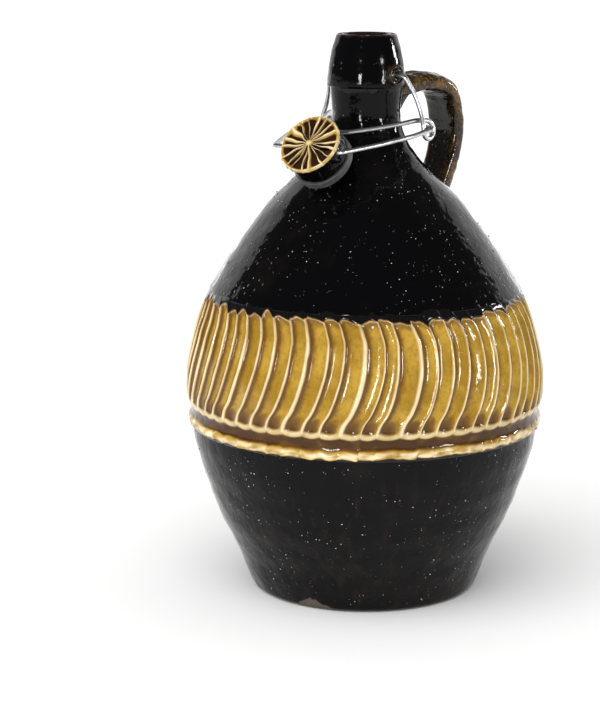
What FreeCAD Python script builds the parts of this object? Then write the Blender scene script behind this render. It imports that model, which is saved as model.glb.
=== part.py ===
import FreeCAD, Part
import math
import os

# Swing-top stoneware jug, in millimetres.
# Frame: origin at the centre of the foot, +Z up, +Y to the handle, -Y to the stopper,
# +X and -X through the two lugs that carry the wire closure.

# ---- driving dimensions -------------------------------------------------------------
jug_height = 275.0
belly_radius = 89.0
foot_radius = 54.5
floor_thickness = 7.0
bore_radius = 10.25
bore_bottom = 224.0
collar_bottom = 250.0
ledge_height = 86.0
band_bottom = 87.5
band_top = 150.0

lug_height = 256.0
lug_radius = 5.25
lug_face = 21.2
lug_hole_radius = 1.20
lug_hole_end = 15.8
lug_sink_radius = 2.5
lug_sink_depth = 1.3

wire_radius = 1.15
pin_end = 16.4
eye_y = 8.5
eye_z = 230.2
eye_radius = 4.3
eye_outer_x = 34.4
eye_inner_x = 31.8

hook_y = 8.5
hook_z = 231.2
hook_x = 37.6
hook_end = 29.8
crossbar_y = -44.2
crossbar_z = 222.8

stopper_x = 9.0
stopper_lift = 38.0      # the face points this far above level, towards -Y
stopper_skew = 9.0       # the cross-hole was bored this far out of square
face_height = 6.6        # from the hole's axis to the top face
face_radius = 15.4
head_thickness = 3.0
body_radius = 14.0
body_bottom = -7.2
stub_radius = 5.0
stub_bottom = -11.6
cross_hole_radius = 1.21
petal_count = 22
gasket_radius = 14.9
gasket_top = -7.2
gasket_bottom = -11.2

strap_width = 18.0
strap_thickness = 10.0
strap_corner = 3.6

# Outer outline of the jug, as (radius, height), from the foot upwards.
lower_wall = [
    (57.6, 4.0), (63.7, 19.9), (73.8, 40.9), (81.3, 61.8), (84.6, 74.0), (86.2, ledge_height),
]
band_wall = [
    (87.5, band_bottom), (88.9, 98.5), (88.7, 109.0), (87.4, 118.4), (85.0, 128.6), (81.8, 138.7),
    (77.2, band_top),
]
shoulder_wall = [
    (76.3, 150.8), (68.7, 163.8), (58.6, 178.8), (47.3, 193.7), (37.0, 203.6), (27.2, 213.0),
    (20.6, 222.3), (17.5, 230.0), (16.8, 238.5), (17.9, collar_bottom),
]
# The hollow inside, from the neck's bore down to the floor.
inner_wall = [
    (bore_radius, bore_bottom), (13.4, 217.3), (20.5, 209.0), (31.0, 200.2), (42.5, 189.0),
    (53.8, 174.0), (64.0, 158.5), (72.5, 144.0), (78.8, 128.0), (82.2, 110.0), (82.0, 94.0),
    (79.4, 78.0), (74.2, 56.0), (66.5, 35.0), (59.0, 18.0), (50.0, floor_thickness),
]
# Outline of the collar's outside, from the ridge up to the lip.
collar_wall = [
    (19.3, collar_bottom), (19.1, 253.5), (18.4, 259.0), (17.2, 266.0), (15.7, 271.3), (14.5, 274.3),
]


def point(radius, height):
    return FreeCAD.Vector(radius, 0, height)


def smooth(outline):
    curve = Part.BSplineCurve()
    curve.interpolate([point(r, z) for r, z in outline])
    return curve.toShape()


def straight(start, end):
    return Part.makeLine(point(*start), point(*end))


def turned(edges):
    face = Part.Face(Part.Wire(edges))
    return face.revolve(FreeCAD.Vector(0, 0, 0), FreeCAD.Vector(0, 0, 1), 360)


def outside_of_pot():
    edges = [
        straight((0, 0), (foot_radius, 0)),
        straight((foot_radius, 0), lower_wall[0]),
        smooth(lower_wall),
        straight(lower_wall[-1], band_wall[0]),
        smooth(band_wall),
        straight(band_wall[-1], shoulder_wall[0]),
        smooth(shoulder_wall),
        straight(shoulder_wall[-1], (0, collar_bottom)),
        straight((0, collar_bottom), (0, 0)),
    ]
    return turned(edges)


def hollow_of_pot():
    edges = [
        straight((0, jug_height + 1), (bore_radius, jug_height + 1)),
        straight((bore_radius, jug_height + 1), inner_wall[0]),
        smooth(inner_wall),
        straight(inner_wall[-1], (0, floor_thickness)),
        straight((0, floor_thickness), (0, jug_height + 1)),
    ]
    return turned(edges)


def outside_of_collar():
    lip = (13.4, jug_height)
    edges = [
        straight((0, collar_bottom), collar_wall[0]),
        smooth(collar_wall),
        straight(collar_wall[-1], lip),
        straight(lip, (0, jug_height)),
        straight((0, jug_height), (0, collar_bottom)),
    ]
    return turned(edges)


def cylinder_along_x(radius, start, end, y, z):
    length = abs(end - start)
    direction = FreeCAD.Vector(math.copysign(1, end - start), 0, 0)
    return Part.makeCylinder(radius, length, FreeCAD.Vector(start, y, z), direction)


def lug_hole(side):
    bore = cylinder_along_x(lug_hole_radius, side * lug_hole_end, side * (lug_face + 1), 0, lug_height)
    sink = Part.makeCone(
        lug_hole_radius,
        lug_sink_radius,
        lug_sink_depth,
        FreeCAD.Vector(side * (lug_face - lug_sink_depth), 0, lug_height),
        FreeCAD.Vector(side, 0, 0),
    )
    return bore.fuse(sink)


def bent_path(corners, radii):
    """Straight runs and round bends through the corners, as (kind, data) pieces."""
    points = [FreeCAD.Vector(*c) for c in corners]
    pieces = []
    start = points[0]
    for index in range(1, len(points) - 1):
        before = (points[index] - points[index - 1]).normalize()
        after = (points[index + 1] - points[index]).normalize()
        turn = before.getAngle(after)
        setback = radii[index - 1] * math.tan(turn / 2)
        bend_start = points[index] - before * setback
        bend_end = points[index] + after * setback
        axis = before.cross(after).normalize()
        centre = bend_start + axis.cross(before) * radii[index - 1]
        pieces.append(("run", start, bend_start))
        pieces.append(("bend", bend_start, before, centre, axis, math.degrees(turn)))
        start = bend_end
    pieces.append(("run", start, points[-1]))
    return pieces


def bent_wire(corners, radii):
    solids = []
    for piece in bent_path(corners, radii):
        if piece[0] == "run":
            start, end = piece[1], piece[2]
            length = (end - start).Length
            if length > 0.01:
                solids.append(Part.makeCylinder(wire_radius, length, start, end - start))
        else:
            start, heading, centre, axis, turn = piece[1:]
            ring = Part.Wire(Part.makeCircle(wire_radius, start, heading))
            solids.append(Part.Face(ring).revolve(centre, axis, turn))
    return solids[0].multiFuse(solids[1:]).removeSplitter()


def rounded_section(start, heading):
    """The strap's rounded rectangle, standing across the heading in the plane x = 0."""
    across = FreeCAD.Vector(1, 0, 0)
    outward = heading.cross(across).normalize()
    half_width = strap_width / 2
    half_thickness = strap_thickness / 2
    edges = []
    corners = [(1, 1), (-1, 1), (-1, -1), (1, -1)]
    ends = []
    for sx, sy in corners:
        hub = start + across * (sx * (half_width - strap_corner))
        hub = hub + outward * (sy * (half_thickness - strap_corner))
        side_point = hub + across * (sx * strap_corner)
        top_point = hub + outward * (sy * strap_corner)
        slant = (across * sx + outward * sy).normalize()
        middle = hub + slant * strap_corner
        first, last = (side_point, top_point) if sx * sy > 0 else (top_point, side_point)
        edges.append(Part.Arc(first, middle, last).toShape())
        ends.append((first, last))
    for index in range(4):
        edges.append(Part.makeLine(ends[index][1], ends[(index + 1) % 4][0]))
    return Part.Face(Part.Wire(Part.__sortEdges__(edges)))


def strap(corners, radii):
    solids = []
    for piece in bent_path(corners, radii):
        if piece[0] == "run":
            start, end = piece[1], piece[2]
            heading = end - start
            solids.append(rounded_section(start, FreeCAD.Vector(heading).normalize()).extrude(heading))
        else:
            start, heading, centre, axis, turn = piece[1:]
            solids.append(rounded_section(start, heading).revolve(centre, axis, turn))
    return solids[0].multiFuse(solids[1:]).removeSplitter()


def save(name, shape):
    shape.exportStep("parts/" + name + ".step")
    print(name, "valid", shape.isValid(), "solids", len(shape.Solids), "volume", round(shape.Volume))


os.makedirs("parts", exist_ok=True)

# ---- fired body: pot, collar, lugs, handle -------------------------------------------
hollow = hollow_of_pot()
pot_outside = outside_of_pot()
collar_outside = outside_of_collar()
pot_body = pot_outside.cut(hollow)
save("pot_body", pot_body)

neck_collar = collar_outside.cut(hollow)
for side in (1, -1):
    neck_collar = neck_collar.cut(lug_hole(side))
save("neck_collar", neck_collar)

for side, name in ((1, "lug_right"), (-1, "lug_left")):
    lug = cylinder_along_x(lug_radius, side * 14, side * lug_face, 0, lug_height)
    rim = [e for e in lug.Edges if abs(abs(e.CenterOfMass.x) - lug_face) < 0.01]
    lug = lug.makeFillet(1.0, rim)
    lug = lug.cut(collar_outside).cut(lug_hole(side))
    save(name, lug)

strap_corners = [
    (0, 10, 246.5), (0, 35, 250.6), (0, 54.2, 247.4), (0, 59.6, 228.5), (0, 56.0, 210.5), (0, 43.6, 182.0),
]
strap_bends = [26.0, 11.5, 30.0, 40.0]
root_outline = [(10, 226), (17.5, 226), (20.5, 236), (25, 243.5), (32, 248), (10, 250)]
root_points = [FreeCAD.Vector(-5.5, y, z) for y, z in root_outline]
root_face = Part.Face(Part.makePolygon(root_points + root_points[:1]))
root = root_face.extrude(FreeCAD.Vector(11, 0, 0))
handle = strap(strap_corners, strap_bends).fuse(root)
handle = handle.cut(pot_outside).cut(collar_outside)
handle = max(handle.Solids, key=lambda s: s.Volume)
save("handle", handle)

# ---- lever wire: pins in the lugs, an eye on each side, one long loop round the front ---
eye_corners = []
for index in range(6):
    angle = math.radians(202.5 + 45 * index)
    reach = eye_radius / math.cos(math.radians(22.5))
    x = eye_outer_x + (eye_inner_x - eye_outer_x) * index / 5
    eye_corners.append((x, eye_y + reach * math.cos(angle), eye_z + reach * math.sin(angle)))
short_arm = [(pin_end, 0, lug_height), (25.2, 0, lug_height), (29.4, 3.9, 246.2), (32.0, 4.9, 238.6), (34.3, 4.3, 232.2)]
long_arm = [(29.2, 4.2, 234.6), (25.0, -4.2, 232.9), (18.0, -13.4, 231.1), (9.0, -25.0, 229.3)]
right_half = short_arm + eye_corners + long_arm
left_half = [(-x, y, z) for x, y, z in reversed(right_half)]
half_bends = [3.2, 30.0, 20.0, 6.0] + [eye_radius * 0.97] * 6 + [7.0, 25.0, 60.0, 9.0]
lever_wire = bent_wire(right_half + left_half, half_bends + list(reversed(half_bends)))
save("lever_wire", lever_wire)

# ---- bail wire: hooked through the eyes, its crossbar through the stopper ---------------
bail_corners = [
    (hook_end, hook_y, hook_z), (hook_x, hook_y, hook_z), (36.3, -4.5, 228.4), (31.6, -24.5, 225.2),
    (26.6, crossbar_y, crossbar_z), (-18.6, crossbar_y, crossbar_z),
    (-29.0, -25.5, 225.6), (-36.2, -4.5, 228.6), (-hook_x, hook_y, hook_z), (-hook_end, hook_y, hook_z),
]
bail_bends = [2.4, 40.0, 60.0, 2.6, 2.6, 60.0, 40.0, 2.4]
bail_wire = bent_wire(bail_corners, bail_bends)
save("bail_wire", bail_wire)

# ---- stopper and gasket, turned about the stopper's own axis, then laid on the crossbar --
head_edge = face_height - head_thickness
stopper_outline = [
    (0, stub_bottom), (stub_radius, stub_bottom), (stub_radius, body_bottom), (body_radius - 0.8, body_bottom),
    (body_radius, body_bottom + 0.8), (body_radius, head_edge - 1.2), (face_radius, head_edge),
    (face_radius, face_height - 1.2), (face_radius - 1.2, face_height - 0.3), (0, face_height),
]
stopper_edges = []
for index in range(len(stopper_outline)):
    ahead = stopper_outline[(index + 1) % len(stopper_outline)]
    stopper_edges.append(straight(stopper_outline[index], ahead))
stopper = turned(stopper_edges)
for index in range(petal_count):
    angle = 360.0 * index / petal_count
    petal = Part.makeCone(0.35, 1.5, face_radius - 3.2, FreeCAD.Vector(3.6, 0, face_height + 0.25), FreeCAD.Vector(1, 0, 0))
    petal.rotate(FreeCAD.Vector(0, 0, 0), FreeCAD.Vector(0, 0, 1), angle)
    stopper = stopper.cut(petal)
gasket = Part.makeCylinder(gasket_radius, gasket_top - gasket_bottom, FreeCAD.Vector(0, 0, gasket_bottom))
gasket = gasket.makeFillet(0.5, [e for e in gasket.Edges if e.Curve.TypeId == "Part::GeomCircle"])
gasket = gasket.cut(Part.makeCylinder(stub_radius, 10, FreeCAD.Vector(0, 0, gasket_bottom - 2)))

lay_back = FreeCAD.Rotation(FreeCAD.Vector(1, 0, 0), 90 - stopper_lift)
skew = FreeCAD.Rotation(FreeCAD.Vector(0, 1, 0), stopper_skew)
placement = FreeCAD.Placement(FreeCAD.Vector(stopper_x, crossbar_y, crossbar_z), lay_back.multiply(skew))
stopper.Placement = placement
gasket.Placement = placement
cross_hole = cylinder_along_x(cross_hole_radius, stopper_x - 25, stopper_x + 25, crossbar_y, crossbar_z)
stopper = stopper.cut(cross_hole)
save("stopper", stopper)
save("gasket", gasket)
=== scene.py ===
import math
import bmesh
import bpy
import numpy as np
from mathutils import Matrix, Vector


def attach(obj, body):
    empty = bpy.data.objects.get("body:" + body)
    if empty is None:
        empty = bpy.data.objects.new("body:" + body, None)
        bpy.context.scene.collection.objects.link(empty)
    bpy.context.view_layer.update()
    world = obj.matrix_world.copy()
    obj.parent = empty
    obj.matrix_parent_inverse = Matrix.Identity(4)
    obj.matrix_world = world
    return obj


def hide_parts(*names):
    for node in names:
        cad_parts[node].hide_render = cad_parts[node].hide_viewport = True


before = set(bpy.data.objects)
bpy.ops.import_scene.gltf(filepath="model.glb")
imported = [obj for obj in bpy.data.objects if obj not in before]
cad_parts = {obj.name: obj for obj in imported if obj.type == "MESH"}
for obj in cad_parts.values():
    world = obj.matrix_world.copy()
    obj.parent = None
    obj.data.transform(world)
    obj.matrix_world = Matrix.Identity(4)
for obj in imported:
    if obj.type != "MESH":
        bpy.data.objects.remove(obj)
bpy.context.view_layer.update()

# ---- the jug's sizes, in mm, with outlines as (radius, height). Times MM they are in metres ----
MM = 0.001
TURN = 2 * math.pi
UP = Vector((0, 0, 1))
LUG_HEIGHT = 256.0
CROSSBAR = Vector((9.0, -44.2, 222.8)) * MM
STOPPER_LIFT = math.radians(38.0)
STOPPER_SKEW = math.radians(9.0)
BARE_SPOT = Vector((17.5, -52.6)) * MM

SHOULDER = [(17.75, 250.6), (17.4, 247.0), (16.85, 241.0), (16.9, 235.5), (17.7, 229.6), (20.6, 222.3),
            (27.2, 213.0), (37.0, 203.6), (47.3, 193.7), (58.6, 178.8), (68.7, 163.8), (74.9, 153.8),
            (76.9, 150.4)]
UNDER_BAND = [(76.4, 149.6), (74.6, 148.4), (80.5, 130.0), (84.5, 108.0), (84.2, 92.0), (84.0, 88.0),
              (85.9, 86.6)]
LOWER_WALL = [(86.1, 85.4), (84.6, 74.0), (81.3, 61.8), (77.6, 51.3), (73.8, 40.9), (68.8, 30.4),
              (63.7, 19.9), (60.2, 11.0), (57.6, 4.0), (56.2, 1.2), (54.3, 0.15)]
FOOT = [(52.0, 0.0), (49.5, 0.5), (47.5, 1.6), (20.0, 1.9), (0.0, 1.9)]
INSIDE = [(0.0, 7.0), (30.0, 7.0), (50.0, 7.6), (59.0, 18.0), (66.5, 35.0), (74.2, 56.0), (79.4, 78.0),
          (80.6, 94.0), (80.2, 110.0), (77.4, 128.0), (71.0, 144.0), (63.2, 158.5), (53.4, 174.0),
          (42.3, 189.0), (31.0, 200.2), (20.5, 209.0), (13.4, 217.3), (10.3, 224.0), (10.25, 237.0),
          (10.25, 250.6)]
COLLAR = [(17.0, 249.6), (18.5, 249.7), (19.15, 250.5), (19.25, 252.0), (19.05, 255.0), (18.6, 258.5),
          (17.9, 262.3), (16.9, 267.0), (15.7, 271.2), (14.8, 273.9), (14.2, 274.75), (13.3, 275.0),
          (12.2, 274.9), (11.2, 274.3), (10.6, 273.2), (10.3, 271.0), (10.25, 264.0), (10.25, 249.6)]


# ---- shaping helpers ----------------------------------------------------------------------
def smooth_line(points, steps):
    """A Catmull-Rom line through the points, with the given number of steps to a span."""
    p = np.array(points, float)
    p = np.vstack([2 * p[0] - p[1], p, 2 * p[-1] - p[-2]])
    out = []
    for i in range(1, len(p) - 2):
        for k in range(steps):
            t = k / steps
            a, b, c, d = p[i - 1], p[i], p[i + 1], p[i + 2]
            curve = (2 * a - 5 * b + 4 * c - d) * t * t + (3 * b - a - 3 * c + d) * t ** 3
            out.append(0.5 * (2 * b + (c - a) * t + curve))
    out.append(p[-2])
    return np.array(out)


def ripple(seed, waves, low, high):
    """A fixed uneven surface over angle and height: a sum of slow waves, each with its own start."""
    rng = np.random.default_rng(seed)
    around = rng.integers(low, high, waves)
    along = rng.uniform(-high, high, waves)
    start = rng.uniform(0, TURN, waves)
    size = rng.uniform(0.4, 1.0, waves)
    total = size.sum() * 0.5

    def value(angle, height):
        out = np.zeros(np.broadcast(angle, height).shape)
        for n, k, s, a in zip(around, along, start, size):
            out = out + a * np.sin(n * angle + k * height * 9.0 + s)
        return out / total
    return value


def new_object(name, data):
    thing = bpy.data.objects.new(name, data)
    bpy.context.scene.collection.objects.link(thing)
    return thing


def shade_smooth(mesh):
    mesh.polygons.foreach_set("use_smooth", [True] * len(mesh.polygons))
    mesh.update()


def mesh_piece(name, points, faces):
    mesh = bpy.data.meshes.new(name)
    mesh.from_pydata([tuple(p) for p in points], [], faces)
    mesh.validate()
    shade_smooth(mesh)
    return new_object(name, mesh)


def ring_faces(rows, around, closed):
    """Faces between neighbouring rings, and between the last and the first where it is closed."""
    faces = []
    for r in range(rows if closed else rows - 1):
        below = (r + 1) % rows
        for c in range(around):
            d = (c + 1) % around
            faces.append((r * around + c, below * around + c, below * around + d, r * around + d))
    return faces


def outward(piece):
    """Normals recalculated to point out of the closed shape."""
    bm = bmesh.new()
    bm.from_mesh(piece.data)
    bmesh.ops.remove_doubles(bm, verts=bm.verts, dist=1e-6)
    bmesh.ops.delete(bm, geom=[e for e in bm.edges if not e.link_faces], context="EDGES")
    bmesh.ops.recalc_face_normals(bm, faces=bm.faces)
    bm.to_mesh(piece.data)
    bm.free()
    shade_smooth(piece.data)
    return piece


def round_steps(count):
    return np.arange(count) * TURN / count


def lofted(name, rings, capped=False, closed=False):
    """A piece through a row of rings of points in mm, its ends capped, joined to each other or left open."""
    rows, around = len(rings), len(rings[0])
    faces = ring_faces(rows, around, closed)
    if capped:
        faces.append(tuple(range(around)))
        faces.append(tuple(range((rows - 1) * around, rows * around))[::-1])
    return mesh_piece(name, np.vstack(rings) * MM, faces)


def thrown(name, outline, columns, uneven, closed_ring=False):
    """The outline turned about +Z, as on a wheel. uneven(angle, height, radius) adds to the radius."""
    angle = round_steps(columns)
    flat, height = outline[:, 0][:, None], outline[:, 1][:, None]
    radius = np.where(flat < 0.01, 0.0, flat + uneven(angle[None, :], height, flat))
    rings = np.stack([radius * np.cos(angle), radius * np.sin(angle), np.repeat(height, columns, 1)], -1)
    return outward(lofted(name, rings, closed=closed_ring))


def thin_glaze(piece, amount):
    """How far the glaze has thinned at each point, for the brown finish to read."""
    guide = piece.data.attributes.new("thin_glaze", "FLOAT", "POINT")
    guide.data.foreach_set("value", np.broadcast_to(amount, len(piece.data.vertices)).astype(np.float32))


# ---- node helpers -------------------------------------------------------------------------
class Graph:
    """A node tree, with short ways to add and join nodes."""

    def __init__(self, tree):
        self.tree = tree

    def add(self, kind, inputs=None, **settings):
        node = self.tree.nodes.new(kind)
        for key, value in settings.items():
            setattr(node, key, value)
        for key, value in (inputs or {}).items():
            self.put(node.inputs[key], value)
        return node

    def put(self, socket, value):
        if isinstance(value, bpy.types.NodeSocket):
            self.tree.links.new(value, socket)
        else:
            socket.default_value = value

    def calc(self, operation, a, b=0.0):
        return self.add("ShaderNodeMath", {0: a, 1: b}, operation=operation).outputs[0]

    def plus(self, a, b):
        return self.calc("ADD", a, b)

    def minus(self, a, b):
        return self.calc("SUBTRACT", a, b)

    def times(self, a, b):
        return self.calc("MULTIPLY", a, b)

    def over(self, a, b):
        return self.calc("DIVIDE", a, b)

    def step(self, value, low, high, out_low=0.0, out_high=1.0):
        """A smooth rise, or a fall where low is above high."""
        limits = {"Value": value, "From Min": low, "From Max": high, "To Min": out_low, "To Max": out_high}
        return self.add("ShaderNodeMapRange", limits, interpolation_type="SMOOTHSTEP").outputs["Result"]

    def line(self, value, points):
        """A smooth curve drawn through the points."""
        node = self.add("ShaderNodeFloatCurve", {"Value": value})
        curve = node.mapping.curves[0]
        while len(curve.points) < len(points):
            curve.points.new(0.5, 0.5)
        for spot, (x, y) in zip(curve.points, points):
            spot.location = (x, y)
            spot.handle_type = "AUTO_CLAMPED"
        node.mapping.use_clip = False
        node.mapping.update()
        return node.outputs["Value"]


class Finish(Graph):
    """A material with a Principled shader, whose patterns read the object's own coordinates."""

    def __init__(self, name):
        self.material = bpy.data.materials.new(name)
        self.material.use_nodes = True
        super().__init__(self.material.node_tree)
        self.tree.nodes.clear()
        self.shader = self.add("ShaderNodeBsdfPrincipled")
        out = self.add("ShaderNodeOutputMaterial")
        self.tree.links.new(self.shader.outputs[0], out.inputs[0])
        self.place = self.add("ShaderNodeTexCoord").outputs["Object"]
        self.bumps = None

    def stretched(self, scale):
        return self.add("ShaderNodeMapping", {"Vector": self.place, "Scale": scale}).outputs[0]

    def cloud(self, scale, detail=3.0, rough=0.55, where=None):
        values = {"Vector": where or self.place, "Scale": scale, "Detail": detail, "Roughness": rough}
        return self.add("ShaderNodeTexNoise", values).outputs["Fac"]

    def spots(self, scale, size, share):
        """Round spots, one in some of the cells: 1 in the middle of a spot, 0 outside."""
        cells = self.add("ShaderNodeTexVoronoi", {"Vector": self.place, "Scale": scale, "Randomness": 1.0})
        round_spot = self.step(cells.outputs["Distance"], size, size * 0.2)
        pick = self.add("ShaderNodeSeparateColor", {"Color": cells.outputs["Color"]})
        chosen = self.calc("LESS_THAN", pick.outputs[0], share)
        return self.times(round_spot, chosen)

    def blend(self, amount, a, b):
        node = self.add("ShaderNodeMix", data_type="RGBA")
        self.put(node.inputs[0], amount)
        self.put(node.inputs[6], a if isinstance(a, bpy.types.NodeSocket) else (*a, 1))
        self.put(node.inputs[7], b if isinstance(b, bpy.types.NodeSocket) else (*b, 1))
        return node.outputs[2]

    def axes(self):
        return self.add("ShaderNodeSeparateXYZ", {"Vector": self.place}).outputs

    def bump(self, value, depth, strength):
        inputs = {"Height": value, "Distance": depth, "Strength": strength}
        if self.bumps is not None:
            inputs["Normal"] = self.bumps
        self.bumps = self.add("ShaderNodeBump", inputs).outputs[0]
        self.tree.links.new(self.bumps, self.shader.inputs["Normal"])

    def colour(self, value):
        self.put(self.shader.inputs["Base Color"], value)

    def set(self, **values):
        for key, value in values.items():
            self.put(self.shader.inputs[key.replace("_", " ")], value)


class Builder(Graph):
    """A Geometry Nodes tree with named sizes, made a plain mesh on an object at the origin."""

    def __init__(self, name):
        super().__init__(bpy.data.node_groups.new(name, "GeometryNodeTree"))
        face = self.tree.interface
        face.new_socket("Geometry", in_out="INPUT", socket_type="NodeSocketGeometry")
        face.new_socket("Geometry", in_out="OUTPUT", socket_type="NodeSocketGeometry")
        self.inlet = self.add("NodeGroupInput")
        self.values = {}

    def size(self, name, value, kind="NodeSocketFloat"):
        socket = self.tree.interface.new_socket(name, in_out="INPUT", socket_type=kind)
        self.values[socket.identifier] = value
        return self.inlet.outputs[name]

    def store(self, geometry, name, value):
        values = {"Geometry": geometry, "Name": name, "Value": value}
        node = self.add("GeometryNodeStoreNamedAttribute", values, data_type="FLOAT", domain="POINT")
        return node.outputs[0]

    def strip(self, columns, rows):
        """A flat grid to be wrapped round: its mesh, and the places along and across it from 0 to 1."""
        sizes = {"Size X": 1.0, "Size Y": 1.0, "Vertices X": columns, "Vertices Y": rows}
        grid = self.add("GeometryNodeMeshGrid", sizes).outputs[0]
        spot = self.add("ShaderNodeSeparateXYZ", {0: self.add("GeometryNodeInputPosition").outputs[0]})
        return grid, self.plus(spot.outputs[0], 0.5), self.plus(spot.outputs[1], 0.5)

    def on_circle(self, angle, radius, height):
        x = self.times(self.calc("COSINE", angle), radius)
        y = self.times(self.calc("SINE", angle), radius)
        return self.add("ShaderNodeCombineXYZ", {0: x, 1: y, 2: height}).outputs[0]

    def wrapped(self, name, grid, place, guides, material):
        """The grid moved to its place with its colour guides, welded where it meets itself."""
        for guide, value in guides.items():
            grid = self.store(grid, guide, value)
        moved = self.add("GeometryNodeSetPosition", {"Geometry": grid, "Position": place}).outputs[0]
        welded = self.add("GeometryNodeMergeByDistance", {"Geometry": moved, "Distance": 0.01 * MM})
        return outward(self.finish(name, welded.outputs[0], material))

    def ring_noise(self, angle, around, height, seed):
        """Noise that joins up round a full turn, with more lumps for a larger value of around."""
        where = self.on_circle(angle, around, height)
        noise = self.add("ShaderNodeTexNoise", {"Vector": where, "W": seed, "Scale": 1.0, "Detail": 1.0},
                         noise_dimensions="4D")
        return self.minus(noise.outputs["Fac"], 0.5)

    def finish(self, name, geometry, material, host=None):
        material_socket = self.size("Finish", material, "NodeSocketMaterial")
        real = self.add("GeometryNodeRealizeInstances", {"Geometry": geometry}).outputs[0]
        coated = self.add("GeometryNodeSetMaterial", {"Geometry": real, "Material": material_socket})
        out = self.add("NodeGroupOutput")
        self.tree.links.new(coated.outputs[0], out.inputs[0])
        host = host or mesh_piece(name + "_host", [(0, 0, 0)], [])
        modifier = host.modifiers.new(name, "NODES")
        modifier.node_group = self.tree
        for identifier, value in self.values.items():
            modifier[identifier] = value
        bpy.context.view_layer.update()
        ready = host.evaluated_get(bpy.context.evaluated_depsgraph_get())
        mesh = bpy.data.meshes.new_from_object(ready)
        host.modifiers.remove(modifier)
        bpy.data.objects.remove(host)
        mesh.name = name
        shade_smooth(mesh)
        return new_object(name, mesh)


# ---- finishes -----------------------------------------------------------------------------
def black_glaze(name, streaks=True):
    """Glossy black. Streaks give the wall its runs, drips and bare clay. Without them the lip is brown."""
    f = Finish(name)
    x, y, z = f.axes()[0:3]
    patch = f.step(f.cloud(26.0, 4.0, 0.6), 0.5, 0.75)
    colour = f.blend(patch, (0.0018, 0.0017, 0.0021), (0.0060, 0.0045, 0.0040))
    if streaks:
        # brown runs low on the wall, and drips below the ridge of the collar
        runs = f.step(f.cloud(1.0, 3.0, 0.6, f.stretched((210, 210, 16))), 0.50, 0.72)
        low = f.step(z, 0.090, 0.050)
        colour = f.blend(f.times(runs, f.times(low, 0.75)), colour, (0.013, 0.008, 0.005))
        drip_edge = f.plus(z, f.times(f.cloud(1.0, 2.0, 0.5, f.stretched((150, 150, 25))), 0.008))
        drips = f.times(f.step(drip_edge, 0.2518, 0.2532), f.step(z, 0.2505, 0.2495))
        colour = f.blend(f.times(drips, 0.85), colour, (0.026, 0.020, 0.016))
        # a rough spot of bare clay at the foot, and the bare foot ring
        dx = f.minus(x, BARE_SPOT.x)
        dy = f.minus(y, BARE_SPOT.y)
        away = f.calc("SQRT", f.plus(f.times(dx, dx), f.times(dy, dy)))
        ragged = f.times(f.minus(f.cloud(330.0, 3.0), 0.5), 0.008)
        edge = f.plus(f.plus(away, f.times(z, 1.6)), ragged)
        bare = f.step(edge, 0.0125, 0.0105)
        below = f.step(z, 0.0014, 0.0006)
        bare = f.calc("MAXIMUM", bare, below)
        colour = f.blend(bare, colour, f.blend(f.cloud(700.0), (0.07, 0.055, 0.045), (0.14, 0.115, 0.092)))
        f.set(Roughness=f.plus(f.times(bare, 0.65), f.times(f.cloud(60.0), 0.16)))
    else:
        thin = f.times(f.step(z, 0.2735, 0.2748), f.step(f.cloud(240.0), 0.35, 0.6))
        colour = f.blend(f.times(thin, 0.6), colour, (0.045, 0.022, 0.014))
        f.set(Roughness=f.plus(0.03, f.times(f.cloud(90.0), 0.14)))
    f.colour(colour)
    f.bump(f.cloud(95.0, 2.0, 0.5), 0.0011, 0.55)
    f.bump(f.cloud(420.0, 2.0, 0.5), 0.00016, 0.6)
    f.bump(f.times(f.spots(330.0, 0.26, 0.30), -1.0), 0.0005, 0.9)
    f.bump(f.spots(240.0, 0.20, 0.16), 0.0004, 0.9)
    f.set(IOR=1.52, Specular_IOR_Level=0.13)
    return f.material


def brown_glaze(name, side_wear):
    """Black over gold-brown, broken into specks where the glaze thins on the outside and the edges."""
    f = Finish(name)
    side = f.step(f.calc("ABSOLUTE", f.axes()[0]), 0.0035, 0.0090)
    worn = f.add("ShaderNodeAttribute", attribute_name="thin_glaze").outputs["Fac"]
    amount = f.calc("MAXIMUM", f.times(side, side_wear), worn)
    grain = f.cloud(900.0, 4.0, 0.75)
    patches = f.cloud(130.0, 3.0, 0.6)
    speck = f.times(f.step(f.plus(grain, f.times(patches, 0.5)), 0.67, 0.88), amount)
    base = f.blend(amount, (0.004, 0.0032, 0.0030), (0.016, 0.0088, 0.0038))
    colour = f.blend(speck, base, (0.21, 0.110, 0.028))
    f.colour(colour)
    f.bump(f.cloud(240.0, 3.0, 0.5), 0.0005, 0.6)
    f.bump(f.spots(420.0, 0.25, 0.3), 0.0003, 0.8)
    f.set(Roughness=f.plus(0.04, f.times(patches, 0.14)), IOR=1.52, Specular_IOR_Level=0.35)
    return f.material


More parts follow.
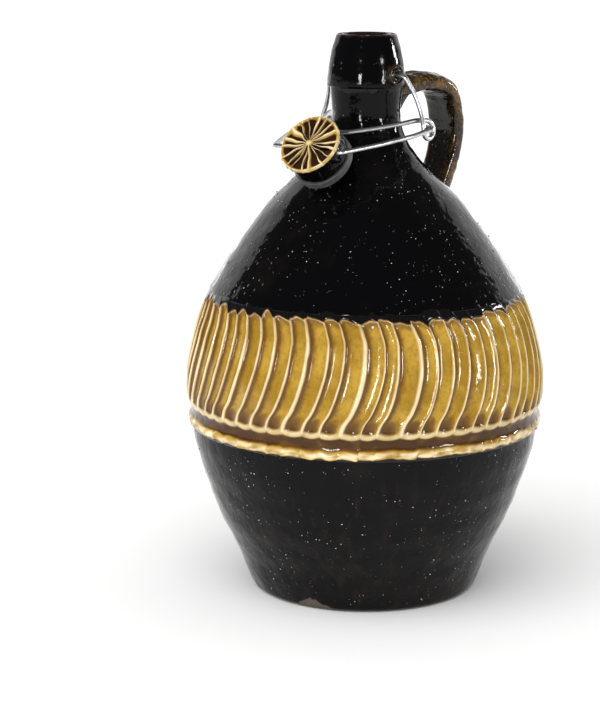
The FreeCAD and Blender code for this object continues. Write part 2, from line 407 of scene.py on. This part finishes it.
def amber_glaze(name, deepest):
    """Honey glaze over white clay: it breaks cream on the crests and pools brown in the hollows. On the
    band, the brown beside each crest is also painted shade.
    """
    f = Finish(name)
    crest = f.add("ShaderNodeAttribute", attribute_name="crest").outputs["Fac"]
    pool_and_shade = f.add("ShaderNodeAttribute", attribute_name="pool_and_shade").outputs["Fac"]
    dark = f.add("ShaderNodeAttribute", attribute_name="dark_edge").outputs["Fac"]
    cloud = f.cloud(75.0, 4.0, 0.6)
    fine = f.cloud(520.0, 3.0, 0.7)
    amber = f.blend(f.step(cloud, 0.35, 0.68), (0.335, 0.190, 0.020), (0.50, 0.305, 0.042))
    amber = f.blend(f.times(f.step(fine, 0.46, 0.70), 0.42), amber, (0.21, 0.105, 0.014))
    ragged = f.times(f.minus(f.cloud(260.0, 3.0, 0.6), 0.5), 0.5)
    pooled_and_shaded = f.plus(pool_and_shade, f.times(ragged, 0.7))
    # pooled brown: glaze pools, and on the band's crest sides painted shade as well
    colour = f.blend(f.step(pooled_and_shaded, 0.08, 0.55), amber, (0.165, 0.078, 0.014))
    colour = f.blend(f.step(pooled_and_shaded, 0.45, 1.0), colour, deepest)
    crest_edge = f.step(f.plus(crest, f.times(ragged, 0.5)), 0.10, 0.85)
    colour = f.blend(crest_edge, colour, f.blend(cloud, (0.84, 0.66, 0.36), (0.92, 0.79, 0.52)))
    dark_edge = f.plus(dark, f.times(ragged, 1.3))
    colour = f.blend(f.step(dark_edge, 0.12, 0.36), colour, (0.105, 0.047, 0.012))
    colour = f.blend(f.step(dark_edge, 0.40, 0.60), colour, (0.005, 0.004, 0.004))
    f.colour(colour)
    f.bump(f.cloud(160.0, 2.0, 0.5), 0.0005, 0.45)
    f.bump(fine, 0.00012, 0.5)
    f.bump(f.times(f.spots(300.0, 0.16, 0.2), -1.0), 0.0003, 0.8)
    f.set(Roughness=f.plus(0.04, f.times(cloud, 0.12)), IOR=1.54, Specular_IOR_Level=0.22)
    return f.material


def drawn_wire():
    f = Finish("bright drawn wire")
    fine = f.cloud(1.0, 3.0, 0.6, f.stretched((900, 900, 900)))
    tarnish = f.step(f.cloud(120.0, 3.0, 0.6), 0.45, 0.8)
    f.colour(f.blend(tarnish, (0.60, 0.60, 0.61), (0.36, 0.35, 0.34)))
    f.set(Metallic=1.0, Roughness=f.plus(0.28, f.times(fine, 0.10)))
    f.bump(fine, 0.00002, 0.1)
    return f.material


def grey_rubber():
    f = Finish("grey rubber")
    bloom = f.step(f.cloud(180.0, 4.0, 0.6), 0.4, 0.75)
    f.colour(f.blend(bloom, (0.050, 0.050, 0.051), (0.105, 0.103, 0.102)))
    f.set(Roughness=f.plus(0.48, f.times(bloom, 0.2)))
    f.bump(f.cloud(1500.0, 2.0, 0.6), 0.00008, 0.6)
    return f.material


# ---- the pot's wall -----------------------------------------------------------------------
WALL_GLAZE = black_glaze("glossy black glaze")
COLLAR_GLAZE = black_glaze("glossy black glaze of the collar", streaks=False)

slow = ripple(3, 9, 2, 7)
dents = ripple(11, 22, 9, 26)
fine_dents = ripple(17, 26, 24, 60)


def wall_unevenness(angle, height, radius):
    """Dents all over, more of them low down, throwing rings on the shoulder and a scalloped upper edge."""
    outer = (radius > 17.0) & (height < 250.0)
    hand = 0.25 * slow(angle, height / 100) + 0.10 * dents(angle, height / 100)
    low = np.clip((86 - height) / 30, 0, 1) * np.clip(height / 6, 0, 1)
    hand = hand + low * (0.16 * dents(angle, height / 70) + 0.09 * fine_dents(angle, height / 60))
    throwing = 0.10 * np.sin(height * 0.9 + 0.6 * np.sin(angle)) * np.clip((height - 152) / 20, 0, 1)
    fade = np.clip((250 - height) / 12, 0, 1) * np.clip(height / 2.0, 0, 1)
    scallop = np.where(np.abs(height - 150.2) < 1.6, 0.15 * fine_dents(angle, height * 0), 0)
    return np.where(outer, (hand + throwing) * fade + scallop, 0.0)


whole_wall = ((SHOULDER, 5), (UNDER_BAND, 2), (LOWER_WALL, 5), (FOOT, 2), (INSIDE, 2))
outline = np.vstack([smooth_line(part, steps) for part, steps in whole_wall])
pot_wall = thrown("pot_wall", outline, 320, wall_unevenness, closed_ring=True)
pot_wall.data.materials.append(WALL_GLAZE)


def collar_unevenness(angle, height, radius):
    return 0.10 * slow(angle, height / 60) * np.clip((radius - 11) / 3, 0, 1)


collar = thrown("collar", smooth_line(COLLAR, 4), 160, collar_unevenness, closed_ring=True)
collar.data.materials.append(COLLAR_GLAZE)


# ---- the carved band ----------------------------------------------------------------------
BAND_FOOT = 85.2
BAND_TOP = 151.8
BAND_FRONT = 0.93
FLUTES_FROM = 97.0
LEDGE_STRETCH = 0.195
HIDDEN_DROP = BAND_TOP - BAND_FOOT + LEDGE_STRETCH * (FLUTES_FROM - BAND_FOOT)


def carved_band():
    """A closed ring. Its front, the share BAND_FRONT of its rows, is carved. Its back is in the wall."""
    g = Builder("Carved band")
    flutes = g.size("Flutes", 60.0)
    cuts = g.size("Columns in a flute", 14.0)
    rows = g.size("Rows", 92, "NodeSocketInt")
    depth = g.size("Cut depth", 1.75 * MM)
    sweep = g.size("Sweep", 0.135)
    seed = g.size("Seed", 5.0)
    columns = g.plus(g.times(flutes, cuts), 1.0)
    grid, around, up = g.strip(columns, rows)
    ring = g.times(around, TURN)

    def lumps(count, shift, height=0.0):
        """Uneven noise from -0.5 to 0.5 round the band, with its own seed."""
        return g.ring_noise(ring, count, height, g.plus(seed, shift))

    outer = g.calc("MINIMUM", g.over(up, BAND_FRONT), 1.0)
    back = g.times(g.calc("MAXIMUM", g.minus(up, BAND_FRONT), 0.0), 1 / (1 - BAND_FRONT))
    is_back = g.calc("GREATER_THAN", back, 0.001)
    keep = g.minus(1.0, is_back)
    # height of each row, in mm above the foot, and the wall's radius there
    tall = g.plus(BAND_FOOT, g.times(BAND_TOP - BAND_FOOT, g.line(outer, [
        (0, 0), (0.10, 0.050), (0.22, 0.150), (0.30, 0.215), (0.86, 0.930), (1, 1)])))
    back_high = g.plus(g.times(back, BAND_FOOT - BAND_TOP), BAND_TOP)
    level = g.plus(g.times(tall, keep), g.times(back_high, is_back))
    crest_radius = g.times(100.0, g.line(g.over(g.minus(tall, 85.0), 67.0), [
        (0.0, 0.859), (0.012, 0.868), (0.030, 0.8785), (0.050, 0.8790), (0.066, 0.8690), (0.095, 0.8635),
        (0.135, 0.8655), (0.158, 0.8770), (0.190, 0.8865), (0.26, 0.8890), (0.36, 0.8870), (0.50, 0.8740),
        (0.65, 0.8500), (0.80, 0.8180), (0.90, 0.7920), (0.965, 0.7730), (1.0, 0.7560)]))
    # place round the pot: flute number and place within the flute, drawn closer together at the crest
    turns = g.plus(g.times(around, flutes), 0.001)
    number = g.calc("FLOOR", turns)
    even = g.minus(turns, number)
    across = g.line(even, [(0, 0), (0.22, 0.075), (0.40, 0.22), (0.62, 0.52), (0.80, 0.80), (1, 1)])
    uneven = g.times(g.ring_noise(ring, 4.2, 0.0, seed), 0.012)
    lean = g.line(g.over(g.minus(level, 90.0), 60.0), [
        (0, 0.0), (0.12, 0.10), (0.28, 0.52), (0.45, 0.82), (0.60, 0.97), (0.75, 1.0), (0.88, 0.86),
        (1.0, 0.55)])
    lean = g.plus(g.times(lean, sweep), g.times(lumps(6.0, 3.0, g.over(level, 60.0)), 0.045))
    place = g.over(g.plus(number, across), flutes)
    angle = g.plus(g.times(g.plus(place, uneven), TURN), lean)
    # depth of the scoop across a flute: a steep wall beside the crest, then a slow rise
    scoop = g.line(across, [(0, 0), (0.045, 0.30), (0.12, 0.72), (0.24, 0.97), (0.38, 1.0), (0.58, 0.84),
                            (0.78, 0.52), (0.93, 0.17), (1, 0)])
    bottom_end = g.step(tall, 95.6, 98.6)
    arch = g.calc("SINE", g.times(across, math.pi))
    notches = g.plus(g.times(lumps(5.0, 31.0), 10.0), g.times(lumps(17.0, 33.0), 6.0))
    edge = g.plus(g.plus(147.2, g.times(arch, 1.5)), notches)
    below = g.minus(edge, tall)
    top_end = g.step(below, -0.6, 3.2, 0.10, 1.0)
    own_depth = g.plus(1.0, g.times(lumps(11.0, 7.0), 1.1))
    cut = g.times(g.times(scoop, bottom_end), g.times(top_end, own_depth))
    radius = g.minus(g.times(crest_radius, MM), g.times(cut, depth))
    hand = g.times(lumps(3.0, 9.0, g.over(tall, 18.0)), 1.1 * MM)
    radius = g.plus(radius, g.times(hand, g.step(tall, 85.5, 90.0)))
    # the edges wander: scalloped foot of the flutes, ragged ledge, notched top
    foot = g.times(g.step(tall, 92.5, 95.5), g.step(tall, 102.0, FLUTES_FROM))
    scallop = g.times(arch, g.times(foot, -1.1))
    ledge = g.times(lumps(14.0, 12.0), g.step(tall, 93.0, 88.0, 0.0, 3.6))
    slow_ledge = g.times(lumps(2.0, 13.0), g.step(tall, 97.0, 88.0, 0.0, 2.6))
    ledge = g.times(g.plus(ledge, slow_ledge), g.step(tall, 85.3, 86.4))
    brim = g.times(lumps(8.0, 15.0), g.step(tall, 138.0, 149.0, 0.0, 4.2))
    high = g.plus(tall, g.plus(scallop, g.plus(ledge, brim)))
    high = g.minus(high, g.times(g.calc("MAXIMUM", g.minus(FLUTES_FROM, tall), 0.0), LEDGE_STRETCH))
    # the hidden back of the ring runs down inside the wall
    hidden_high = g.plus(g.times(back, -HIDDEN_DROP), BAND_TOP)
    high = g.plus(g.times(high, keep), g.times(hidden_high, is_back))
    back_radius = g.line(back, [(0, 0.7560), (0.12, 0.748), (0.5, 0.832), (0.9, 0.845), (1, 0.859)])
    radius = g.plus(g.times(radius, keep), g.times(g.times(back_radius, 0.1), is_back))
    # cream crests, lip, ledge and upper edge
    crest = g.line(across, [(0, 1.0), (0.045, 0.80), (0.10, 0.12), (0.18, 0.0), (0.76, 0.0), (0.88, 0.22),
                            (0.96, 0.75), (1, 1.0)])
    crest = g.times(crest, g.step(tall, 147.0, 120.0, 0.62, 1.0))
    flute_zone = g.times(g.step(tall, 94.8, 96.2), g.step(below, -0.4, 0.5))
    wear = g.plus(0.85, g.times(lumps(22.0, 23.0, g.over(tall, 9.0)), 0.9))
    lip = g.times(g.step(tall, 94.0, 95.4), g.step(tall, 98.5, 96.4))
    ledge_line = g.times(g.step(tall, 86.0, 86.9), g.step(tall, 89.9, 88.4))
    worn = g.plus(0.50, g.times(lumps(16.0, 21.0, g.over(tall, 2.0)), 2.0))
    crest = g.calc("MAXIMUM", g.times(crest, g.times(flute_zone, wear)), g.times(lip, g.times(wear, 0.62)))
    top_lip = g.times(g.times(g.step(below, 0.1, 0.7), g.step(below, 2.0, 0.9)), 0.45)
    crest = g.calc("MAXIMUM", g.calc("MAXIMUM", crest, g.times(top_lip, wear)), g.times(ledge_line, worn))
    # brown beside the crests, partly glaze pooled there and partly painted shade from the crests; brown
    # glaze pools at the foot of the flutes, in the trench and under the upper edge
    # the brown next to each crest is partly glaze pooling and partly painted shade cast by the crest
    pool_and_shade = g.line(across, [(0, 0), (0.05, 0.26), (0.11, 0.62), (0.20, 0.48), (0.36, 0.24), (0.60, 0.04),
                           (0.78, 0.10), (0.88, 0.22), (0.95, 0.10), (1, 0)])
    foot_pool = g.times(g.step(tall, 107.0, 97.6), g.step(tall, 96.2, 97.8))
    foot_pool = g.times(foot_pool, g.line(across, [(0, 0.25), (0.12, 0.9), (0.4, 1.0), (0.72, 0.65),
                                                   (0.9, 0.1), (1, 0)]))
    trench = g.times(g.step(tall, 88.9, 90.4), g.step(tall, 95.4, 94.0))
    patchy = g.plus(0.95, g.times(lumps(9.0, 25.0, g.over(tall, 4.0)), 1.5))
    under_top = g.times(g.times(g.step(below, 6.5, 1.5), g.step(below, 0.6, 1.6)), 0.42)
    pool_and_shade = g.calc("MAXIMUM", g.calc("MAXIMUM", g.times(pool_and_shade, bottom_end), under_top),
                  g.calc("MAXIMUM", g.times(foot_pool, 0.80), g.times(trench, patchy)))
    dark = g.plus(g.step(below, 1.5, -0.9), g.step(tall, 86.5, 85.7))
    guides = {"crest": crest, "pool_and_shade": pool_and_shade, "dark_edge": dark}
    place = g.on_circle(angle, radius, g.times(high, MM))
    glaze = amber_glaze("amber band glaze", (0.062, 0.025, 0.005))
    return g.wrapped("carved_band", grid, place, guides, glaze)


band = carved_band()


# ---- glaze beads, scattered in loose clumps: dark blisters, and pale specks that are painted glints ---
# The specks' near-white colour is painted glints: light caught on the glaze, painted in.
def painted_glint_speck_glaze():
    f = Finish("pale glaze specks")
    f.colour(f.blend(f.step(f.cloud(420.0, 2.0), 0.35, 0.7), (0.20, 0.19, 0.18), (0.90, 0.88, 0.84)))
    f.set(Roughness=0.25)
    return f.material


def glaze_beads(name, low, high, per_area, seed_value, smallest, largest, material):
    """Beads of glaze over the pot's outside between two heights, with per_area to a square metre."""
    host = new_object(name + "_skin", pot_wall.data.copy())
    g = Builder(name)
    density = g.size("Beads to a square metre", per_area)
    small = g.size("Smallest", smallest)
    large = g.size("Largest", largest)
    lowest = g.size("Lowest", low)
    highest = g.size("Highest", high)
    seed = g.size("Seed", seed_value, "NodeSocketInt")
    where = g.add("GeometryNodeInputPosition").outputs[0]
    facing = g.add("GeometryNodeInputNormal").outputs[0]
    x, y, z = g.add("ShaderNodeSeparateXYZ", {0: where}).outputs[0:3]
    nx, ny = g.add("ShaderNodeSeparateXYZ", {0: facing}).outputs[0:2]
    outside = g.calc("GREATER_THAN", g.plus(g.times(x, nx), g.times(y, ny)), 0.0)
    zone = g.times(g.calc("GREATER_THAN", z, lowest), g.calc("LESS_THAN", z, highest))
    clump = g.add("ShaderNodeTexNoise", {"Vector": where, "Scale": 75.0, "Detail": 2.0}).outputs["Fac"]
    clump = g.step(clump, 0.42, 0.66, 0.25, 2.2)
    density = g.times(g.times(density, clump), g.times(outside, zone))
    skin = {"Mesh": g.inlet.outputs["Geometry"], "Density": density, "Seed": seed}
    spread = g.add("GeometryNodeDistributePointsOnFaces", skin, distribute_method="RANDOM")
    bead = g.add("GeometryNodeMeshIcoSphere", {"Radius": 1.0, "Subdivisions": 1}).outputs[0]
    pick = g.add("FunctionNodeRandomValue", {2: 0.0, 3: 1.0, "Seed": seed}, data_type="FLOAT").outputs[1]
    pick = g.calc("POWER", pick, 2.2)
    scale = g.plus(small, g.times(pick, g.minus(large, small)))
    flat = g.add("ShaderNodeCombineXYZ", {0: scale, 1: scale, 2: g.times(scale, 0.6)}).outputs[0]
    points, turned = spread.outputs["Points"], spread.outputs["Rotation"]
    laid = {"Points": points, "Instance": bead, "Rotation": turned, "Scale": flat}
    return g.finish(name, g.add("GeometryNodeInstanceOnPoints", laid).outputs[0], material, host)


# the pale specks below are painted glints
GLINT_SPECK_GLAZE = painted_glint_speck_glaze()
beads = [glaze_beads("glaze_blisters_shoulder", 0.154, 0.238, 5500.0, 4, 0.20 * MM, 0.60 * MM, WALL_GLAZE),
         glaze_beads("glaze_blisters_lower", 0.006, 0.084, 4200.0, 9, 0.18 * MM, 0.50 * MM, WALL_GLAZE),
         glaze_beads("glaze_specks_shoulder", 0.154, 0.240, 19000.0, 14, 0.11 * MM, 0.32 * MM, GLINT_SPECK_GLAZE),
         glaze_beads("glaze_specks_lower", 0.005, 0.082, 20000.0, 19, 0.14 * MM, 0.36 * MM, GLINT_SPECK_GLAZE)]


# ---- handle -------------------------------------------------------------------------------
HANDLE_LINE = [(10.0, 246.4), (22.0, 248.5), (34.0, 249.9), (44.5, 248.9), (52.4, 245.6), (56.3, 239.5),
               (58.5, 230.5), (58.7, 221.5), (57.0, 213.3), (54.0, 205.6), (50.0, 197.6), (44.0, 184.5)]
HANDLE_SIZE = [(8.6, 5.2), (8.8, 5.2), (9.4, 5.0), (10.0, 4.8), (10.3, 4.6), (10.3, 4.6), (10.2, 4.7),
               (9.9, 4.8), (9.5, 5.0), (9.3, 5.1), (9.4, 5.4), (9.6, 6.0)]


def pulled_handle():
    """The strap, flatter on its inside, with shallow pulled ridges down its outside."""
    line = smooth_line(HANDLE_LINE, 9)
    size = smooth_line(HANDLE_SIZE, 9)
    bend = np.gradient(line, axis=0)
    bend /= np.linalg.norm(bend, axis=1)[:, None]
    out = np.stack([-bend[:, 1], bend[:, 0]], -1)
    phase = round_steps(72)
    c, s = np.cos(phase), np.sin(phase)
    across = np.sign(c) * np.abs(c) ** (2 / 2.9)
    thick = np.sign(s) * np.abs(s) ** np.where(s > 0, 2 / 2.35, 2 / 3.6)
    ridged = thick + 0.028 * np.cos(10 * phase) * np.clip(s, 0, 1)
    hollowed = np.where(s < 0, 1 - 0.14 * np.clip(1 - np.abs(c) / 0.8, 0, 1), 1.0)
    edge = np.exp(-((s - 0.05) / 0.42) ** 2)
    wobble = ripple(23, 8, 1, 5)
    rings = []
    thin = []
    for i, (p, (w, t)) in enumerate(zip(line, size)):
        hand = 0.25 * wobble(phase, i / 26.0)
        reach = (t * ridged + hand * np.abs(thick)) * hollowed
        y, z = p[0] + out[i, 0] * reach, p[1] + out[i, 1] * reach
        rings.append(np.stack([w * across + hand * 0.4 * c, y, z], -1))
        lower = np.clip((i / (len(line) - 1) - 0.32) / 0.2, 0, 1)
        worn = np.clip(0.30 + 0.55 * edge + 0.45 * lower * np.clip(s, 0, 1), 0, 1)
        thin.append(worn * np.where(s < -0.35, 0.12, 1.0))
    piece = lofted("pulled_handle", rings, capped=True)
    thin_glaze(piece, np.concatenate(thin))
    return outward(piece)


def handle_root():
    """The clay smoothed down the back of the neck. A row is its height, middle, half width and depth."""
    line = smooth_line([(226.0, 17.2, 2.6, 2.4), (229.0, 17.6, 4.0, 3.2), (233.0, 18.0, 5.2, 3.8),
                        (238.0, 18.8, 6.2, 4.8), (242.5, 20.5, 7.2, 6.5), (246.0, 22.8, 8.0, 8.6),
                        (249.0, 24.4, 8.2, 9.8), (251.0, 24.6, 7.6, 9.2)], 5)
    phase = round_steps(40)
    across = np.sign(np.cos(phase)) * np.abs(np.cos(phase)) ** 0.85
    out = np.sin(phase) * np.where(np.sin(phase) > 0, 1.0, 0.6)
    rings = []
    for z, middle, w, d in line:
        rings.append(np.stack([w * across, np.maximum(middle - 2.0 + d * out, 13.0), z + 0 * phase], -1))
    piece = lofted("handle_root", rings, capped=True)
    thin_glaze(piece, 0.22)
    return outward(piece)


HANDLE_GLAZE = brown_glaze("speckled brown glaze", 0.25)
LUG_GLAZE = brown_glaze("dark glaze of the lugs", 0.06)
handle = pulled_handle()
root = handle_root()
for piece in (handle, root):
    piece.data.materials.append(HANDLE_GLAZE)


# ---- lugs: pressed clay buttons -----------------------------------------------------------
LUG = [(16.4, 0.0), (16.4, 0.9), (16.6, 1.32), (19.6, 1.34), (20.5, 1.75), (20.95, 2.3), (20.85, 2.9),
       (20.35, 3.25), (20.25, 3.6), (20.75, 4.1), (20.7, 4.6), (20.2, 5.05), (18.6, 5.3), (16.0, 5.4),
       (15.6, 2.0), (15.6, 0.0)]


def pressed_lug(name, side):
    """LUG is its outline, as distance from the jug's axis and radius about the pin, hole included."""
    phase = round_steps(56)
    pressed = 1 + 0.035 * ripple(31 + side, 6, 2, 6)(phase, 0.0)
    rings = []
    for reach, radius in smooth_line(LUG, 3):
        y, z = radius * pressed * np.cos(phase), radius * pressed * np.sin(phase)
        rings.append(np.stack([0 * y + side * reach, y, LUG_HEIGHT + z], -1))
    piece = lofted(name, rings)
    thin_glaze(piece, 0.09)
    piece.data.materials.append(LUG_GLAZE)
    return outward(piece)


lug_right = pressed_lug("pressed_lug_right", 1)
lug_left = pressed_lug("pressed_lug_left", -1)

# ---- stopper, made upright about its own axis and then laid on the crossbar ---------------
TILT = Matrix.Rotation(math.pi / 2 - STOPPER_LIFT, 4, "X") @ Matrix.Rotation(STOPPER_SKEW, 4, "Y")
LAID = Matrix.Translation(CROSSBAR) @ TILT


def petal_head():
    """The carved face of the stopper and its rim, as a disc closed underneath."""
    g = Builder("Petal head")
    petals = g.size("Petals", 18.0)
    cuts = g.size("Columns in a petal", 12.0)
    rows = g.size("Rows", 46, "NodeSocketInt")
    depth = g.size("Petal depth", 1.7)
    seed = g.size("Seed", 2.0)
    columns = g.plus(g.times(petals, cuts), 1.0)
    grid, around, out = g.strip(columns, rows)
    turns = g.plus(g.times(around, petals), 0.001)
    number = g.calc("FLOOR", turns)
    even = g.minus(turns, number)
    across = g.line(even, [(0, 0), (0.18, 0.08), (0.5, 0.5), (0.82, 0.92), (1, 1)])
    ring = g.times(around, TURN)
    # radius and height in mm, from the middle of the face out over the rim and back under it
    radius = g.times(100.0, g.line(out, [(0, 0.0), (0.70, 0.146), (0.76, 0.152), (0.80, 0.154),
                                         (0.86, 0.154), (0.90, 0.1495), (0.95, 0.10), (1, 0.0)]))
    level = g.times(10.0, g.line(out, [(0, 0.630), (0.35, 0.640), (0.66, 0.630), (0.72, 0.600),
                                       (0.76, 0.560), (0.80, 0.480), (0.86, 0.400), (0.90, 0.355),
                                       (0.95, 0.350), (1, 0.350)]))
    twist = g.times(g.ring_noise(ring, 3.0, g.times(out, 2.2), seed), 0.85)
    twist = g.times(twist, g.step(out, 0.80, 0.15))
    uneven = g.times(g.ring_noise(ring, 4.0, 0.0, g.plus(seed, 4.0)), 0.13)
    place = g.over(g.plus(number, across), petals)
    angle = g.plus(g.times(g.plus(place, uneven), TURN), twist)
    # thin ridges between the petals, which are cut deepest halfway out
    ridge = g.line(across, [(0, 1), (0.025, 0.75), (0.06, 0.28), (0.13, 0.04), (0.5, 0), (0.87, 0.04),
                            (0.94, 0.28), (0.975, 0.75), (1, 1)])
    middle = g.step(out, 0.03, 0.16)
    hollow = g.times(g.minus(1.0, ridge), middle)
    top = g.step(out, 0.755, 0.655)
    own = g.plus(1.0, g.times(g.ring_noise(ring, 5.0, 0.0, g.plus(seed, 8.0)), 1.2))
    along = g.line(out, [(0, 0.2), (0.12, 0.55), (0.4, 1.0), (0.62, 0.85), (0.72, 0.45), (1, 0)])
    cut = g.times(g.times(hollow, top), g.times(own, along))
    level = g.minus(level, g.times(cut, depth))
    scallop = g.times(g.minus(ridge, 0.6), g.times(g.step(out, 0.60, 0.76), g.step(out, 0.92, 0.82)))
    radius = g.plus(radius, g.times(scallop, 0.38))
    # colour guides: cream ridges, rim and middle, and a dark leaf in each petal
    rim = g.times(g.step(out, 0.655, 0.735), g.step(out, 0.93, 0.80))
    worn = g.plus(0.52, g.times(g.ring_noise(ring, 5.0, 0.0, seed), 1.1))
    crest = g.calc("MAXIMUM", g.times(ridge, g.times(top, 0.74)), g.times(rim, worn))
    crest = g.calc("MAXIMUM", crest, g.step(out, 0.085, 0.03, 0.0, 0.55))
    leaf = g.calc("POWER", g.calc("MAXIMUM", g.calc("SINE", g.times(across, math.pi)), 0.0), 0.8)
    leaf = g.times(leaf, g.times(g.step(out, 0.735, 0.58), g.step(out, 0.03, 0.14)))
    pool_and_shade = g.step(leaf, 0.20, 0.66, 0.0, 1.15)
    guides = {"crest": crest, "pool_and_shade": pool_and_shade, "dark_edge": g.step(out, 0.84, 0.88)}
    place = g.on_circle(angle, g.times(radius, MM), g.times(level, MM))
    glaze = amber_glaze("amber stopper glaze", (0.022, 0.009, 0.003))
    return g.wrapped("petal_head", grid, place, guides, glaze)


def stopper_body():
    """The head's underside, the stem and the stub that carries the gasket."""
    line = smooth_line([(0.0, 4.6), (8.0, 4.6), (13.2, 4.5), (14.3, 3.9), (14.35, 3.0), (14.1, 1.5),
                        (14.05, -2.0), (14.1, -5.4), (13.9, -6.6), (13.1, -7.15), (9.0, -7.2), (5.2, -7.2),
                        (4.95, -8.0), (4.95, -11.0), (4.6, -11.6), (2.0, -11.65), (0.0, -11.65)], 4)
    wobble = ripple(41, 10, 2, 8)

    def uneven(angle, height, radius):
        return 0.14 * wobble(angle, height / 20) * (radius > 12)
    piece = thrown("stopper_body", line, 96, uneven)
    piece.data.materials.append(STOPPER_GLAZE)
    return piece


STEM_RADIUS = 13.95
HOLE_RING = [(-1.2, 1.6), (0.25, 1.65), (0.75, 2.1), (0.95, 2.9), (0.7, 3.7), (0.1, 4.3), (-1.4, 4.7),
             (-1.6, 3.0), (-1.2, 1.6)]


def hole_ring(name, side):
    """The raised ring of clay round one end of the cross-hole, bent to the stem's round side."""
    phase = round_steps(40)
    rings = []
    for reach, radius in smooth_line(HOLE_RING, 4)[:-1]:
        x = reach + np.sqrt(STEM_RADIUS ** 2 - (radius * np.cos(phase)) ** 2)
        rings.append(np.stack([side * x, radius * np.cos(phase), radius * np.sin(phase)], -1))
    piece = lofted(name, rings, closed=True)
    piece.data.materials.append(STOPPER_GLAZE)
    return outward(piece)


STOPPER_GLAZE = black_glaze("glossy black glaze of the stopper", streaks=False)
head = petal_head()
stem = stopper_body()
rings = [hole_ring("hole_ring_right", 1), hole_ring("hole_ring_left", -1)]
for piece in [head, stem] + rings:
    piece.data.transform(LAID)
    piece.data.update()

# ---- wires and gasket keep their own shape, and every node gets its finish ----------------
WIRE = drawn_wire()
NODE_FINISH = {"lever_wire": WIRE, "bail_wire": WIRE, "gasket": grey_rubber(), "pot_body": WALL_GLAZE,
               "neck_collar": COLLAR_GLAZE, "handle": HANDLE_GLAZE, "lug_right": LUG_GLAZE,
               "lug_left": LUG_GLAZE, "stopper": STOPPER_GLAZE}
for node, material in NODE_FINISH.items():
    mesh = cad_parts[node].data
    mesh.materials.clear()
    mesh.materials.append(material)

# ---- what each piece rides on, and the model's own parts that are hidden ------------------
for piece in [pot_wall, band, collar, handle, root, lug_right, lug_left] + beads:
    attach(piece, "jug")
for piece in [head, stem] + rings:
    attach(piece, "stopper_set")
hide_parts("pot_body")
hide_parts("pot_body")
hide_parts("neck_collar")
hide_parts("handle")
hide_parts("lug_right")
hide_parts("lug_left")
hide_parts("stopper")
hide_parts("stopper")


# ---- floor, light and camera --------------------------------------------------------------
FLOOR_HALF = 60.0
FLOOR_DROP = 0.2 * MM


def pale_floor():
    f = Finish("pale floor")
    f.colour(f.blend(f.cloud(2.0, 2.0), (0.965, 0.965, 0.965), (0.98, 0.98, 0.98)))
    f.set(Roughness=1.0, Specular_IOR_Level=0.0)
    points = [(x * FLOOR_HALF, y * FLOOR_HALF, -FLOOR_DROP) for x, y in ((-1, -1), (1, -1), (1, 1), (-1, 1))]
    floor = mesh_piece("pale_floor", points, [(0, 1, 2, 3)])
    floor.data.materials.append(f.material)


VIEW_TURN = math.radians(44.0)
TOWARDS = Vector((-math.sin(VIEW_TURN), math.cos(VIEW_TURN), 0))
SIDEWAYS = Vector((math.cos(VIEW_TURN), math.sin(VIEW_TURN), 0))
MIDDLE = Vector((0, 0, 0.12))


def lamp(name, kind, power, turn, lift, distance):
    """A light aimed at the jug: turn is degrees to the right of the camera, lift is degrees above level."""
    turn, lift = math.radians(turn), math.radians(lift)
    level = SIDEWAYS * math.sin(turn) - TOWARDS * math.cos(turn)
    place = MIDDLE + (level * math.cos(lift) + UP * math.sin(lift)) * distance
    light = bpy.data.lights.new(name, kind)
    light.energy = power
    holder = new_object(name, light)
    holder.location = place
    holder.rotation_euler = (MIDDLE - place).to_track_quat("-Z", "Y").to_euler()
    return holder


def softbox(name, turn, lift, distance, width, height, power):
    """A rectangular light that is seen only as a glint."""
    box = lamp(name, "AREA", power, turn, lift, distance)
    box.data.shape = "RECTANGLE"
    box.data.size, box.data.size_y = width, height
    box.visible_camera = False
    box.visible_diffuse = False


def studio():
    """A pale room whose reflections are kept low, softboxes for the glints and a broad front light."""
    world = bpy.data.worlds.new("soft studio")
    world.use_nodes = True
    g = Graph(world.node_tree)
    room = world.node_tree.nodes["Background"]
    room.inputs[0].default_value = (1.0, 1.0, 1.0, 1)
    shiny = g.add("ShaderNodeLightPath").outputs["Is Glossy Ray"]
    g.put(room.inputs[1], g.step(shiny, 0.0, 1.0, 0.72, 0.11))
    bpy.context.scene.world = world
    softbox("key softbox", -19, 11, 1.5, 0.13, 0.36, 11)
    softbox("right softbox", 51, 13, 1.5, 0.13, 0.30, 8)
    softbox("left back panel", -150, 17, 1.8, 1.7, 1.3, 9)
    softbox("right back panel", 150, 17, 1.8, 1.7, 1.3, 9)
    softbox("handle glint", 108, 15, 1.6, 0.10, 0.26, 8)
    front = lamp("broad front light", "SUN", 2.0, -27, 42, 1.0)
    front.data.angle = math.radians(80)
    front.visible_glossy = False


EYE_DISTANCE = 1.089
EYE_HEIGHT = 0.3454
EYE_YAW = math.radians(1.694738)
EYE_PITCH = math.radians(-11.9722)
LENS_LENGTH = 112.31
SENSOR_WIDTH = 36.0


def camera():
    level = TOWARDS * math.cos(EYE_YAW) - SIDEWAYS * math.sin(EYE_YAW)
    forward = level * math.cos(EYE_PITCH) + UP * math.sin(EYE_PITCH)
    lens = bpy.data.cameras.new("camera")
    lens.lens = LENS_LENGTH
    lens.sensor_width = SENSOR_WIDTH
    lens.clip_end = FLOOR_HALF
    eye = new_object("camera", lens)
    eye.location = UP * EYE_HEIGHT - TOWARDS * EYE_DISTANCE
    eye.rotation_euler = forward.to_track_quat("-Z", "Y").to_euler()
    bpy.context.scene.camera = eye


pale_floor()
studio()
camera()
bpy.context.scene.view_settings.view_transform = "Standard"
bpy.context.scene.cycles.use_denoising = True
